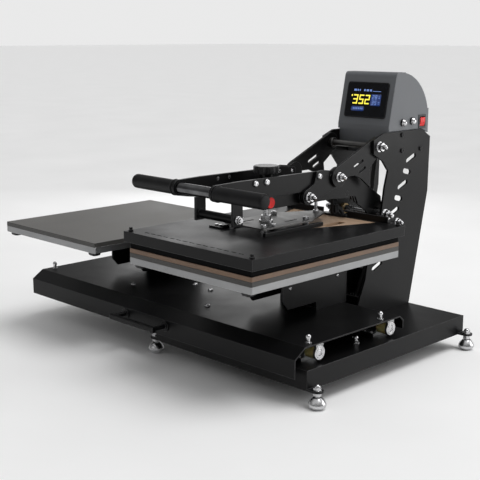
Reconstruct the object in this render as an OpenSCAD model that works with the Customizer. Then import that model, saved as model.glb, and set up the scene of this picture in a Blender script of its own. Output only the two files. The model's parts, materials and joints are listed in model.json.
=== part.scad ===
// Auto-open clamshell heat press with a double bed that slides under one head.
// The press station stands at x = 0 and y = 0 is the front edge of its bed;
// station() shifts that to the model origin, which is the middle of the footprint.

/* [Beds] */
// Width of each lower platen, along the slide
platen_w = 400; // [360:5:410]
// Depth of each lower platen, front to back
platen_d = 503; // [490:1:506]
// Thickness of the aluminium lower platen
platen_t = 15.5; // [12:0.5:17]
// Height of the underside of the lower platens
platen_z = 264; // [260:1:266]
// Thickness of the silicone pad
pad_t = 11; // [8:0.5:11]
// Distance between the two beds along the slide, which is the slide's travel
bed_pitch = 536; // [500:1:560]

/* [Base] */
// Width of the base tray
base_w = 503; // [480:1:520]
// Front edge of the base tray
base_front = 118; // [112:1:124]
// Depth of the base tray
base_d = 602; // [590:1:610]
// Underside of the base tray
base_low = 38; // [34:1:42]
// Top of the base tray
base_top = 84; // [80:1:84]
// Thickness of the folded sheet
sheet = 3; // [2:0.5:3]
// Side offset of the levelling feet
foot_x = 269; // [265:1:272]
// Radius of a foot's bell
bell_r = 20; // [17:1:22]

/* [Slide] */
// Length of the sled along the slide
sled_l = 1005; // [990:1:1010]
// Height of the two slide shafts' axes
shaft_z = 107; // [106:0.5:107.5]
// Radius of the slide shafts
shaft_r = 8; // [6:0.5:10]
// Front shaft's distance behind the bed's front edge
shaft_front = 178; // [174:1:182]
// Rear shaft's distance behind the bed's front edge
shaft_rear = 434; // [425:1:438]
// Thickness of a shaft's end disc
disc_t = 6; // [4:1:7]
// Radius of a shaft's end disc
disc_r = 16.5; // [15:0.5:18]
// Length of an end bumper
bumper_l = 25; // [20:1:26]

/* [Linkage] */
// Height of the upper pivot, where the links hang on the tower
upper_z = 514.5; // [513:0.5:516]
// Height of the lower pivot, where the arm hangs on the tower
lower_z = 340; // [338:1:342]
// Radius of the upper pivot shaft
upper_r = 8; // [6:0.5:9]
// Radius of the lower pivot shaft
lower_r = 10; // [8:0.5:11]
// Radius of the pins between arm and lever
pin_r = 6; // [5:0.5:7]
// Radial running clearance in the pivots and slide bushes
fit = 0.05; // [0.03:0.01:0.09]
// Thickness of each linkage plate
plate_t = 6; // [5:0.5:6]

/* [Head] */
// Half width of the head cover
head_half = 210; // [206:1:212]
// Front edge of the head cover
head_front = -8; // [-12:1:-4]
// Rear edge of the head cover
head_back = 510; // [508:1:512]
// Top of the head cover
head_top = 341; // [341:0.5:342]
// Wall of the head cover
cover_t = 2; // [1.5:0.5:3]

/* [Handle] */
// Height of the handle tube's axis
handle_z = 455; // [452:1:458]
// Distance of the handle tube behind the bed's front edge
handle_y = 32; // [28:1:36]
// Radius of the handle tube
tube_r = 12.5; // [11:0.5:13.5]
// Radius of the rubber grips
grip_r = 16.5; // [15:0.5:18]
// Outer end of the grips
grip_end = 208; // [190:1:215]
// Radius of the pressure knob
knob_r = 31; // [26:1:34]

/* [Hidden] */
$fn = 48;

// colours
black = "#1b1b1d";
soft_black = "#242426";
steel = "#b9bbbe";
aluminium = "#cfd0d2";
box_grey = "#54575a";
tan_board = "#b08a68";
olive = "#a9a06a";

// model origin: the middle of the bounding box, on the floor
sled_mid = -bed_pitch / 2;
sled_left = sled_mid - sled_l / 2;
sled_right = sled_mid + sled_l / 2;
tower_back = 784;
origin_x = (sled_left + foot_x + bell_r) / 2;
origin_y = (head_front + tower_back) / 2;

// linkage layers on the right side, as the inner face of each plate
arm_x = 50;
bar_x = 57;
lever_x = 64;
link_x = 71;
tower_x = 78;

// pivots, as [y, z]
upper_p = [568, upper_z];
lower_p = [598.5, lower_z];
grip_p = [322, 415];      // arm to lever
toggle_p = [423, 453];    // lever to link
brace_p = [650.6, 314];
guide_p = [480, 404];     // cross tube that guides the head's slotted plate

foot_ys = [132, 711];
shaft_ys = [shaft_front, shaft_rear];
block_x0 = 163;
block_x1 = sled_right - disc_t - bumper_l - 0.5;
block_top = base_top + 40;
block_screw_xs = [block_x0 + 10, block_x1 - 10];
sled_top = 130;
pad_z = platen_z + platen_t;
pad_gap = 0.5;
heat_z = pad_z + pad_t + pad_gap;
heat_t = 10;
frame_t = 15;
cover_z = heat_z + heat_t + frame_t;
yoke_z = head_top + 13;
screw_y = 250;
beam_z0 = 398;
beam_z1 = 430;
knob_z = 467;
box_half = 82;
face_low = [611, 584];    // lower edge of the sloping display face
face_high = [630, 676];   // upper edge of the sloping display face
fold_p = [606.5, 562];    // where the sloping face meets the short upright chin
nose_c = [643.5, 682];    // centre of the rounded upper front edge
nose_r = 12;
face_tilt = atan2(face_high[0] - face_low[0], face_high[1] - face_low[1]);
glass_half = 64;
glass_h = 87;

module station() {
    translate([-origin_x, -origin_y, 0]) children();
}

module both_sides() {
    children();
    mirror([1, 0, 0]) children();
}

// a [y, z] outline drawn out along x from x0 to x1
module along_x(x0, x1) {
    translate([x0, 0, 0]) rotate([90, 0, 90]) linear_extrude(x1 - x0) children();
}

module rod_x(x0, x1, p, r) {
    translate([x0, p[0], p[1]]) rotate([0, 90, 0]) cylinder(r = r, h = x1 - x0);
}

module hex_x(x0, x1, p, r) {
    translate([x0, p[0], p[1]]) rotate([0, 90, 0]) cylinder(r = r, h = x1 - x0, $fn = 6);
}

module rod_z(x, y, z0, z1, r) {
    translate([x, y, z0]) cylinder(r = r, h = z1 - z0);
}

module hex_z(x, y, z0, z1, r) {
    translate([x, y, z0]) cylinder(r = r, h = z1 - z0, $fn = 6);
}

module box(x0, x1, y0, y1, z0, z1) {
    translate([x0, y0, z0]) cube([x1 - x0, y1 - y0, z1 - z0]);
}

// rectangle with rounded corners
module round_rect(x0, x1, y0, y1, r) {
    for (x = [x0 + r, x1 - r], y = [y0 + r, y1 - r]) translate([x, y]) circle(r);
    translate([x0 + r, y0]) square([x1 - x0 - 2 * r, y1 - y0]);
    translate([x0, y0 + r]) square([x1 - x0, y1 - y0 - 2 * r]);
}

// slot with round ends, turned about its own middle
module slot_2d(p, length, width, angle) {
    translate(p) rotate(angle) {
        square([length - width, width], center = true);
        for (s = [-1, 1]) translate([s * (length - width) / 2, 0]) circle(d = width);
    }
}

// washer, nut and the stud's rounded end, pointing along +x
module capped_nut_x(x, p, r) {
    nut = x + 1.5;
    tip = nut + 1.7 * r;
    rod_x(x, nut, p, r * 1.3);
    hex_x(nut, nut + r, p, r * 1.12);
    rod_x(nut + r, tip, p, r * 0.62);
    translate([tip, p[0], p[1]]) intersection() {
        sphere(r = r * 0.62);
        rod_x(0, r, [0, 0], r);
    }
}

// ---------------------------------------------------------------- base

module foot_places() {
    for (s = [-1, 1], y = foot_ys) translate([s * foot_x, y, 0]) children();
}

ear_z = base_low;
ear_t = 4;
stud_top = 50;

module base_tray() color(black) station() {
    difference() {
        union() {
            box(-base_w / 2, base_w / 2, base_front, base_front + base_d, base_low, base_top);
            foot_places() translate([0, 0, ear_z]) cylinder(r = 14, h = ear_t);
            for (s = [-1, 1], y = foot_ys)
                translate([s * (base_w / 2 + foot_x) / 2, y, ear_z + ear_t / 2])
                    cube([foot_x - base_w / 2, 28, ear_t], center = true);
        }
        box(-base_w / 2 + sheet, base_w / 2 - sheet, base_front + sheet,
            base_front + base_d - sheet, base_low - 1, base_top - sheet);
        foot_places() cylinder(r = 5, h = 80);
    }
}

module levelling_feet() color(steel) station() foot_places() {
    rotate_extrude() polygon([
        [0, 0], [bell_r - 7.5, 0], [bell_r - 3, 4], [bell_r, 9], [bell_r, 12], [bell_r - 2, 16.5],
        [bell_r - 4.5, 21], [bell_r - 8.5, 25], [bell_r - 10, 27], [0, 27]
    ]);
    translate([0, 0, 27]) cylinder(r = 5, h = stud_top - 27);
}

module foot_lock_nuts() color(steel) station() foot_places() {
    difference() {
        union() {
            translate([0, 0, ear_z + ear_t]) cylinder(r = 10, h = 1.5);
            translate([0, 0, ear_z + ear_t + 1.5]) cylinder(r = 9.5, h = 5, $fn = 6);
            translate([0, 0, ear_z + ear_t + 6.5]) intersection() {
                sphere(r = 7);
                cylinder(r = 8, h = 8);
            }
        }
        cylinder(r = 5, h = stud_top);
    }
    translate([0, 0, ear_z - 8]) difference() {
        cylinder(r = 9.5, h = 8, $fn = 6);
        translate([0, 0, -1]) cylinder(r = 5, h = 10);
    }
}

module rail_block_places() {
    for (s = [0, 1], y = shaft_ys) mirror([s, 0, 0]) translate([0, y, 0]) children();
}

module rail_blocks() color(aluminium) station() rail_block_places() {
    difference() {
        union() {
            box(block_x0, block_x1, -15, 15, base_top, block_top);
            box(block_x0, block_x1, -26, 26, base_top, base_top + 8);
        }
        rod_x(block_x0 - 1, block_x1 + 1, [0, shaft_z], shaft_r + 5);
        for (x = block_screw_xs, y = [-20.5, 20.5]) rod_z(x, y, base_top - 1, base_top + 10, 2.75);
    }
}

module rail_bushes() color("#8f8468") station() rail_block_places() {
    difference() {
        rod_x(block_x0, block_x1, [0, shaft_z], shaft_r + 5);
        rod_x(block_x0 - 1, block_x1 + 1, [0, shaft_z], shaft_r + fit);
    }
}

// tall bolt that stops the sled, and the screws of the slide blocks
module base_bolts() color(steel) station() {
    translate([200, 345, base_top]) stop_bolt();
    rail_block_places() for (x = block_screw_xs, y = [-20.5, 20.5]) {
        rod_z(x, y, base_top, base_top + 8, 2.75);
        rod_z(x, y, base_top + 8, base_top + 12, 4.5);
    }
}

module stop_bolt() {
    cylinder(r = 10, h = 1.5);
    translate([0, 0, 1.5]) cylinder(r = 9, h = 6, $fn = 6);
    translate([0, 0, 7.5]) cylinder(r = 5, h = 5);
    translate([0, 0, 12.5]) intersection() {
        sphere(r = 7);
        cylinder(r = 7, h = 7);
    }
}

// ---------------------------------------------------------------- tower

// screws that hold the control box between the plates
box_screws = [[660.5, 537.6], [661.4, 497.4], [742, 497]];
lettering_low = [572, 210];
lettering_high = [703, 475];
slot_count = 9;
flange_ys = [545, 600, 655];

module tower_outline() {
    difference() {
        polygon([
            [584, 546], [746, 547], [tower_back, 526], [781.5, 382], [761, 290], [715, base_top],
            [490, base_top], [503, 129], [526, 181], [533, 219], [548, 262], [572, 318],
            [585, 348], [595, 408], [607, 451], [583, 478], [547, 497], [545.5, 532]
        ]);
        for (i = [0 : slot_count - 1])
            slot_2d(lettering_low + (lettering_high - lettering_low) * i / (slot_count - 1),
                    i % 2 == 0 ? 44 : 34, 13, i % 2 == 0 ? 22 : -14);
        translate(upper_p) circle(upper_r);
        translate(lower_p) circle(lower_r);
        translate(brace_p) circle(5);
        for (p = box_screws) translate(p) circle(3);
    }
}

module tower_plate() {
    along_x(tower_x, tower_x + plate_t) tower_outline();
    difference() {
        box(tower_x - 30, tower_x, 505, 700, base_top, base_top + 6);
        for (y = flange_ys) rod_z(tower_x - 16, y, base_top - 1, base_top + 8, 4);
    }
}

module tower_plate_right() color(black) station() tower_plate();

module tower_plate_left() color(black) station() mirror([1, 0, 0]) tower_plate();

// cross members between the plates, and the black screws of the control box
module tower_braces() color(black) station() {
    difference() {
        rod_x(-tower_x, tower_x, brace_p, 11);
        rod_x(-tower_x - 1, tower_x + 1, brace_p, 5);
    }
    box(-tower_x, tower_x, 688, 694, base_top + 6, base_top + 76);
    box(-tower_x, tower_x, 520, 526, base_top + 6, base_top + 50);
    both_sides() for (p = box_screws) {
        rod_x(tower_x - 4, tower_x + plate_t, p, 3);
        rod_x(tower_x + plate_t, tower_x + plate_t + 3, p, 5.5);
    }
}

module tower_bolts() color(steel) station() {
    rod_x(-tower_x - plate_t, tower_x + plate_t, brace_p, 5);
    both_sides() {
        capped_nut_x(tower_x + plate_t, brace_p, 8);
        capped_nut_x(tower_x + plate_t, upper_p, 10);
        capped_nut_x(tower_x + plate_t, lower_p, 11);
        for (y = flange_ys) {
            rod_z(tower_x - 16, y, base_top, base_top + 6, 4);
            hex_z(tower_x - 16, y, base_top + 6, base_top + 11, 7);
        }
    }
}

module upper_pivot_shaft() color(steel) station() {
    rod_x(-tower_x - plate_t, tower_x + plate_t, upper_p, upper_r);
    both_sides() difference() {
        rod_x(lever_x - 2, link_x - 0.5, upper_p, upper_r + 5);
        rod_x(lever_x - 3, link_x, upper_p, upper_r - 1);
    }
}

module lower_pivot_shaft() color(steel) station() {
    rod_x(-tower_x - plate_t, tower_x + plate_t, lower_p, lower_r);
    both_sides() difference() {
        rod_x(arm_x + plate_t + 0.5, tower_x, lower_p, lower_r + 5);
        rod_x(arm_x, tower_x + 1, lower_p, lower_r - 1);
    }
}

// ---------------------------------------------------------------- control box

shell_t = 2.5;
back_arc_c = [650, 570];
back_arc_r = 124;
box_floor = 486;
lead_hole_y = 660;

// side view of the upper box, shrunk by inset on every face
module box_outline(inset) {
    r = nose_r - inset;
    intersection() {
        union() {
            translate(nose_c) circle(r);
            polygon([
                [fold_p[0] + inset, 549 + inset], [fold_p[0] + inset, fold_p[1]],
                nose_c + r * [-cos(face_tilt), sin(face_tilt)], nose_c + [0, r],
                [775 - inset, 694 - inset], [775 - inset, 537 + inset], [746, 549 + inset]
            ]);
        }
        union() {
            translate(back_arc_c) circle(back_arc_r - inset);
            translate([590, 530]) square([80, 180]);
            translate([590, 530]) square([200, 70]);
        }
    }
}

// side view of the lower box between the tower plates
module lower_box_outline(inset) {
    polygon([
        [fold_p[0] + inset, 549 + inset], [608.5 + inset, 511 + inset],
        [645 + inset, 511 + inset], [645 + inset, box_floor + inset],
        [768 - inset, box_floor + inset], [768 - inset, 549 + inset]
    ]);
}

module control_box_shell() color(box_grey) station() difference() {
    union() {
        along_x(-box_half, box_half) box_outline(0);
        along_x(-tower_x + 0.5, tower_x - 0.5) lower_box_outline(0);
    }
    along_x(-box_half + shell_t, box_half - shell_t) box_outline(shell_t);
    along_x(-tower_x + 0.5 + shell_t, tower_x - 0.5 - shell_t) lower_box_outline(shell_t);
    on_face() translate([-glass_half + 4, -5, 4]) cube([2 * glass_half - 8, 10, glass_h - 8]);
    for (p = fuse_places) rod_x(box_half - 5, box_half + 1, p, 6);
    along_x(box_half - 5, box_half + 1) rocker_opening();
    translate([-24, 770, 552]) cube([48, 10, 28]);
    both_sides() for (p = box_screws) rod_x(tower_x - 4, tower_x, p, 3);
    rod_z(0, lead_hole_y, box_floor - 1, box_floor + shell_t + 1, 8);
}

// frame whose x runs along the sloping face and whose z runs up it
module on_face() {
    translate([0, face_low[0], face_low[1]]) rotate([-face_tilt, 0, 0])
        translate([0, 0, -3]) children();
}

// a rounded slab on the face, from y0 (outside is negative) to y1
module face_slab(half, z0, z1, r, y0, y1) {
    translate([0, y1, 0]) rotate([90, 0, 0]) linear_extrude(y1 - y0)
        round_rect(-half, half, z0, z1, r);
}

module display_frame() color("#2c2e30") station() on_face() difference() {
    face_slab(glass_half + 2, -2, glass_h + 2, 7, -1.6, 0);
    face_slab(glass_half - 1, 1, glass_h - 1, 5, -3, 1);
}

module display_glass() color("#0b0c0f") station() on_face() {
    face_slab(glass_half - 1, 1, glass_h - 1, 5, -1.2, 0);
    face_slab(glass_half - 4.2, 4.2, glass_h - 4.2, 1, 0, 4);
}

fuse_places = [[664, 568], [704, 570]];

module fuse_holders() color("#3a3a3c") station() for (p = fuse_places) {
    rod_x(box_half - 20, box_half, p, 6);
    rod_x(box_half, box_half + 4, p, 9.5);
    translate([box_half + 4, p[0], p[1]]) intersection() {
        sphere(r = 8);
        rotate([0, 90, 0]) cylinder(r = 9, h = 9);
    }
}

rocker_p = [747, 567];
rocker_axis_x = 77;

module rocker_opening() {
    translate(rocker_p - [13, 15]) square([26, 30]);
}

rocker_tilt = 8;
rocker_pin = [rocker_axis_x, rocker_p[0], rocker_p[1]];

module rocker_frame() color("#202022") station() difference() {
    union() {
        along_x(box_half - 16, box_half) rocker_opening();
        along_x(box_half, box_half + 1.5)
            translate(rocker_p - [15.5, 17.5]) square([31, 35]);
    }
    along_x(box_half - 13, box_half + 2) translate(rocker_p - [10.5, 12.5]) square([21, 25]);
    translate(rocker_pin) rotate([90, 0, 0]) cylinder(r = 1.5 + fit, h = 30, center = true);
}

// double-faced paddle on a cross pin, resting with its lower half pressed in
module rocker_switch() color("red") station()
    translate(rocker_pin) rotate([90, rocker_tilt, 0]) {
        linear_extrude(20, center = true)
            polygon([[-3, -11], [7, -11.3], [8.4, 0], [7, 11.3], [-3, 11]]);
        cylinder(r = 1.5, h = 25.5, center = true);
    }

module power_inlet() color("#202022") station() difference() {
    union() {
        translate([-24, 756, 552]) cube([48, 19, 28]);
        translate([-28, 775, 549]) cube([56, 2.5, 34]);
    }
    translate([-20, 760, 556]) cube([40, 20, 20]);
}

// board on four posts that stand on the box's floor
module control_board() color("#2d5f3a") station() {
    floor_z = box_floor + shell_t;
    board_z = floor_z + 8;
    for (x = [-54, 54], y = [676, 754]) rod_z(x, y, floor_z, board_z, 3);
    box(-60, 60, 670, 760, board_z, board_z + 2);
    box(-45, -5, 680, 720, board_z + 2, board_z + 30);
    box(10, 30, 685, 720, board_z + 2, board_z + 18);
    box(35, 55, 715, 745, board_z + 2, board_z + 14);
}

// ---------------------------------------------------------------- heater lead

lead_r = 6;
lead_sides = 10;

// down from the box, round a loop above the base and up beside the pivot
tower_route = [
    [0, lead_hole_y, 480], [0, lead_hole_y, 460], [2, 652, 430], [4, 644, 390], [2, 633, 364],
    [0, 624, 345], [0, 623, 320], [0, 628, 250], [0, 631, 188], [0, 624, 162], [0, 612, 141],
    [0, 603, 120], [0, 592, 105], [0, 575, 98], [0, 562, 106], [0, 553, 120], [0, 549, 140],
    [0, 546, 170], [0, 545, 210], [0, 541, 260], [0, 536, 318]
];
arm_route = [
    [0, 532, 336], [0, 529, 344], [0, 523, 352], [0, 516, 357], [0, 510, 358], [0, 505.4, 358]
];

function ring(a, t, side, n, r) =
    [for (i = [0 : n - 1]) a + r * (cos(360 * i / n) * side + sin(360 * i / n) * cross(t, side))];
function unit(v) = v / norm(v);
function tangent(path, i) =
    unit(path[min(i + 1, len(path) - 1)] - path[max(i - 1, 0)]);
function sweep_points(path, r, n) = [
    for (i = [0 : len(path) - 1])
        let (t = tangent(path, i), side = unit([1, 0, 0] - t * t[0]))
            for (p = ring(path[i], t, side, n, r)) p
];

// closed tube with n sides along a path that stays near the yz plane
module sweep(path, r, n) {
    last = (len(path) - 1) * n;
    polyhedron(sweep_points(path, r, n), concat(
        [[for (i = [0 : n - 1]) i]],
        [[for (i = [n - 1 : -1 : 0]) last + i]],
        [for (k = [0 : len(path) - 2], i = [0 : n - 1])
            [k * n + i, (k + 1) * n + i, (k + 1) * n + (i + 1) % n, k * n + (i + 1) % n]]
    ));
}

module arm_lead() color("#151516") station() sweep(arm_route, lead_r, lead_sides);

module tower_lead() color("#151516") station() {
    sweep(tower_route, lead_r, lead_sides);
    rod_z(0, lead_hole_y, box_floor - 8, box_floor + 6, 8);
}

// ---------------------------------------------------------------- sled

module sled_tray() color(black) station() difference() {
    along_x(sled_left, sled_right) polygon([
        [96.5, 66], [96.5, 108.4], [130, sled_top], [470, sled_top], [484, 118], [484, 97],
        [484 - sheet, 97], [484 - sheet, 116.6], [469, sled_top - sheet],
        [131, sled_top - sheet], [96.5 + sheet, 106.7], [96.5 + sheet, 66]
    ]);
    sled_bolt_places() cylinder(r = stud_r, h = 200);
}

module sled_bolt_places() {
    for (s = [-1, 1], y = shaft_ys)
        translate([sled_mid + s * (sled_l / 2 - 18), y - 18, 0]) children();
}

module shaft_end_places() {
    for (s = [0, 1], y = shaft_ys)
        translate([sled_mid, y, shaft_z]) mirror([s, 0, 0]) translate([sled_l / 2, 0, 0])
            children();
}

module slide_shafts() color(steel) station()
    for (y = shaft_ys) rod_x(sled_left + 1, sled_right - 1, [y, shaft_z], shaft_r);

module end_bumpers() color(olive) station() shaft_end_places() difference() {
    rod_x(-disc_t - bumper_l, -disc_t, [0, 0], disc_r - 0.5);
    rod_x(-disc_t - bumper_l - 1, 0, [0, 0], shaft_r);
}

module end_discs() color(aluminium) station() {
    shaft_end_places() difference() {
        rod_x(-disc_t, 0, [0, 0], disc_r);
        rod_x(-disc_t - 1, 1, [0, 0], shaft_r);
    }
    difference() {
        shaft_end_places() {
            box(-25, -disc_t, -26, 16, 17, 20);
            box(-disc_t, 0, -12, 12, 14, 20);
        }
        sled_bolt_places() cylinder(r = stud_r, h = 200);
        shaft_end_places() rod_x(-disc_t - 1, 1, [0, 0], disc_r - 1);
    }
}

stud_r = 4.5;
cross_screws = [[-448, 204], [-153, 202], [-448, 400], [-153, 400], [-331, 322], [-259, 311]];

// studs and screws of the sled, and the bolts that hold the platens
module sled_bolts() color(steel) station() {
    sled_bolt_places() {
        rod_z(0, 0, shaft_z + 17, sled_top + 12, stud_r);
        rod_z(0, 0, sled_top, sled_top + 2, 8);
        rod_z(0, 0, sled_top + 11, sled_top + 14, 6);
        translate([0, 0, sled_top + 14]) intersection() {
            sphere(r = 6);
            cylinder(r = 7, h = 7);
        }
    }
    for (p = cross_screws) rod_z(p[0], p[1], sled_top, sled_top + 3, 6);
    for (bed = [0, -bed_pitch], x = [-35, 35], y = [275, 450]) {
        rod_z(bed + x, y, platen_z - 6, platen_z + 10, 4);
        hex_z(bed + x, y, platen_z - 12, platen_z - 6, 7);
    }
}

module sled_handle() color(black) station() translate([sled_mid, 96.5, 93]) {
    for (s = [-1, 1]) translate([s * 77, 0, 0]) rotate([90, 0, 0]) {
        cylinder(r = 6, h = 38);
        cylinder(r = 13.5, h = 3);
    }
    along_x(-85, 85) round_rect(-46, -36, -8, 8, 4.5);
}

// channel under a bed, open to the front above the sled
module pedestal() {
    for (s = [0, 1]) mirror([s, 0, 0]) along_x(55, 60) polygon([
        [246, platen_z], [246, 172], [264, 151], [366, 151], [366, sled_top], [480, sled_top],
        [480, platen_z]
    ]);
    difference() {
        box(-55, 55, 246, 480, platen_z - 6, platen_z);
        for (x = [-35, 35], y = [275, 450]) rod_z(x, y, platen_z - 7, platen_z + 1, 4);
    }
    box(-55, 55, 372, 475, sled_top, sled_top + 5);
    box(-55, 55, 475, 480, sled_top, platen_z - 6);
}

module pedestal_right() color(soft_black) station() pedestal();

module pedestal_left() color(soft_black) station() translate([-bed_pitch, 0, 0]) pedestal();

module platen() difference() {
    translate([0, 0, platen_z]) linear_extrude(platen_t)
        round_rect(-platen_w / 2, platen_w / 2, 0, platen_d, 3);
    for (x = [-35, 35], y = [275, 450]) rod_z(x, y, platen_z - 1, platen_z + 10, 4);
}

module pad() translate([0, 0, pad_z]) linear_extrude(pad_t)
    round_rect(-platen_w / 2, platen_w / 2, 0, platen_d, 3);

module platen_right() color(aluminium) station() platen();

module platen_left() color(aluminium) station() translate([-bed_pitch, 0, 0]) platen();

module pad_right() color("#6f6c66") station() pad();

module pad_left() color("#6f6c66") station() translate([-bed_pitch, 0, 0]) pad();

// ---------------------------------------------------------------- swing arm

hub_r = 26;

module arm_outline() difference() {
    union() {
        translate(grip_p) circle(18);
        translate(lower_p) circle(hub_r);
        polygon([
            [318, 397.4], [424, 397], [491, 392], [557, 352], [576, 327], [600, 314],
            [624, 343], [615, 383], [571, 409], [509, 447], [481, 448], [432, 441], [326, 433]
        ]);
    }
    translate(grip_p) circle(pin_r);
    translate(lower_p) circle(lower_r + 4);
    translate(guide_p) circle(7);
    for (i = [0 : 2]) slot_2d([497 + 9 * i, 386 - i], 24, 5, -62);
}

module arm_plates() color(black) station()
    both_sides() along_x(arm_x, arm_x + plate_t) arm_outline();

// pressure beam between the arm plates, with a tongue back to the lever pins
module press_beam() color(black) station() difference() {
    union() {
        box(-arm_x, arm_x, 190, 312, beam_z0, beam_z1);
        box(-arm_x, arm_x, 312, 362, 402, beam_z1);
    }
    rod_z(0, screw_y, beam_z0 - 1, beam_z1 + 1, 7 + fit);
    both_sides() rod_x(arm_x - 20, arm_x + 1, grip_p, pin_r);
    rod_x(arm_x - 22, arm_x + 1, button_p, 6 + fit);
}

module arm_cross_tubes() color(black) station() {
    rod_x(-arm_x - plate_t, arm_x + plate_t, guide_p, 7);
}

module arm_pivot_pins() color(steel) station() both_sides() {
    rod_x(arm_x - 20, lever_x + plate_t + 0.5, grip_p, pin_r);
    capped_nut_x(lever_x + plate_t + 0.5, grip_p, 9);
}

module arm_bushes() color("#8f8468") station() both_sides() difference() {
    rod_x(arm_x - 6, arm_x + plate_t, lower_p, lower_r + 4);
    rod_x(arm_x - 7, arm_x + plate_t + 1, lower_p, lower_r + fit);
}

button_p = [205, 414];

module release_button() color("red") station() {
    rod_x(arm_x - 18, arm_x + 3.5, button_p, 6);
    rod_x(arm_x + 3.5, arm_x + 9, button_p, 12.5);
}

module pressure_knob() color(black) station() translate([0, screw_y, knob_z]) difference() {
    union() {
        translate([0, 0, 5]) cylinder(r = knob_r - 3, h = 18);
        translate([0, 0, 7]) cylinder(r = knob_r, h = 14);
        translate([0, 0, -10]) cylinder(r = 14, h = 16);
    }
    for (a = [0 : 45 : 315]) rotate(a) translate([knob_r + 6, 0, -1]) cylinder(r = 10, h = 30);
    translate([0, 0, -11]) cylinder(r = 7, h = 20);
}

module adjusting_screw() color(steel) station() translate([0, screw_y, 0]) {
    rod_z(0, 0, head_top + 4.5, knob_z + 9, 7);
    difference() {
        rod_z(0, 0, beam_z1 + 0.4, beam_z1 + 7, 12);
        rod_z(0, 0, beam_z1, beam_z1 + 8, 6);
    }
}

// ---------------------------------------------------------------- head

// opening behind the yoke, around a tongue that carries the yoke's rear feet
module head_notch() {
    polygon([
        [75, 326], [139, head_back - 10], [-139, head_back - 10], [-75, 326],
        [-63, 326], [-63, 344], [63, 344], [63, 326]
    ]);
}

module head_cover() color(black) station() difference() {
    box(-head_half, head_half, head_front, head_back, cover_z, head_top);
    box(-head_half + cover_t, head_half - cover_t, head_front + cover_t,
        head_back - cover_t, cover_z - 1, head_top - cover_t);
    translate([0, 0, head_top - cover_t - 1]) linear_extrude(cover_t + 2)
        head_notch();
    for (i = [-7 : 7]) translate([22 * i, 16, head_top - cover_t - 1])
        linear_extrude(cover_t + 2) slot_2d([0, 0], 16, 4, 0);
    for (p = yoke_feet) rod_z(p[0], p[1], head_top - cover_t - 1, head_top + 1, 4);
}

module insulation_board() color(tan_board) station() difference() {
    box(-head_half + 8, head_half - 8, head_front + 8, head_back - 8, cover_z,
        head_top - cover_t);
    for (p = yoke_feet) rod_z(p[0], p[1], cover_z - 1, head_top, 9);
    both_sides() box(60, 82, 374, 446, head_top - 20, head_top);
}

module frame_box(inset, z0, z1) {
    box(-platen_w / 2 + inset, platen_w / 2 - inset, inset, platen_d - inset, z0, z1);
}

module head_frame() color("#131314") station() difference() {
    frame_box(2, heat_z + heat_t, cover_z);
    frame_box(10, heat_z + heat_t - 1, cover_z + 1);
}

heater_rows = 6;
heater_gap = 70;
heater_half = 120;

// one heating rod that winds to and fro on the platen
module heater_element() color("#6b4a3a") station()
    translate([0, platen_d / 2, heat_z + heat_t + 4.2]) {
        for (i = [0 : heater_rows - 1])
            rod_x(-heater_half, heater_half, [heater_gap * (i - (heater_rows - 1) / 2), 0], 4);
        for (i = [0 : heater_rows - 2])
            translate([i % 2 == 0 ? heater_half : -heater_half, heater_gap * (i + 1 - heater_rows / 2), 0])
                rotate(i % 2 == 0 ? -90 : 90) rotate_extrude(angle = 180)
                    translate([heater_gap / 2, 0]) circle(4);
    }

module heat_platen() color("#a5805f") station()
    translate([0, 0, heat_z]) linear_extrude(heat_t)
        round_rect(-platen_w / 2, platen_w / 2, 0, platen_d, 3);

module corner_posts() color(black) station()
    for (x = [-head_half + 12, head_half - 12], y = [head_front + 12, head_back - 12]) {
        rod_z(x, y, head_top, head_top + 3, 6);
        rod_z(x, y, head_top + 3, head_top + 9, 4);
    }

yoke_feet = [[-52, 190], [52, 190], [-52, 332], [52, 332]];

spring_y = 428;

// raised plate with a tapering tail that carries the spring's rod
module yoke_plate() color("#7d7c7a") station() difference() {
    translate([0, 0, yoke_z]) linear_extrude(4)
        polygon([[-64, 176], [64, 176], [64, 346], [14, 447], [-14, 447], [-64, 346]]);
    rod_z(0, screw_y, yoke_z - 1, yoke_z + 5, 7 + fit);
    for (p = concat(yoke_feet, [[0, spring_y]])) rod_z(p[0], p[1], yoke_z - 1, yoke_z + 5, 4);
    translate([0, 0, yoke_z - 1]) linear_extrude(6) for (s = [-1, 1], y = [222, 300])
        slot_2d([s * 34, y], 44, 6, 90);
}

module yoke_bolts() color(steel) station() {
    for (p = yoke_feet) {
        rod_z(p[0], p[1], head_top - 12, yoke_z + 12, 4);
        difference() {
            rod_z(p[0], p[1], head_top, yoke_z, 8);
            rod_z(p[0], p[1], head_top - 1, yoke_z + 1, 3.5);
        }
        difference() {
            hex_z(p[0], p[1], yoke_z + 4, yoke_z + 11, 7.5);
            rod_z(p[0], p[1], yoke_z, yoke_z + 14, 3.5);
        }
    }
    rod_z(0, spring_y, yoke_z - 5, yoke_z + 36, 4);
    for (z = [yoke_z - 5, yoke_z + 4]) hex_z(0, spring_y, z, z + 5, 7.5);
    both_sides() rod_z(52, 221, yoke_z + 4, yoke_z + 9, 5);
    for (x = [-98, -84]) rod_z(x, 183, head_top + 4, head_top + 7, 4.5);
}

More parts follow.
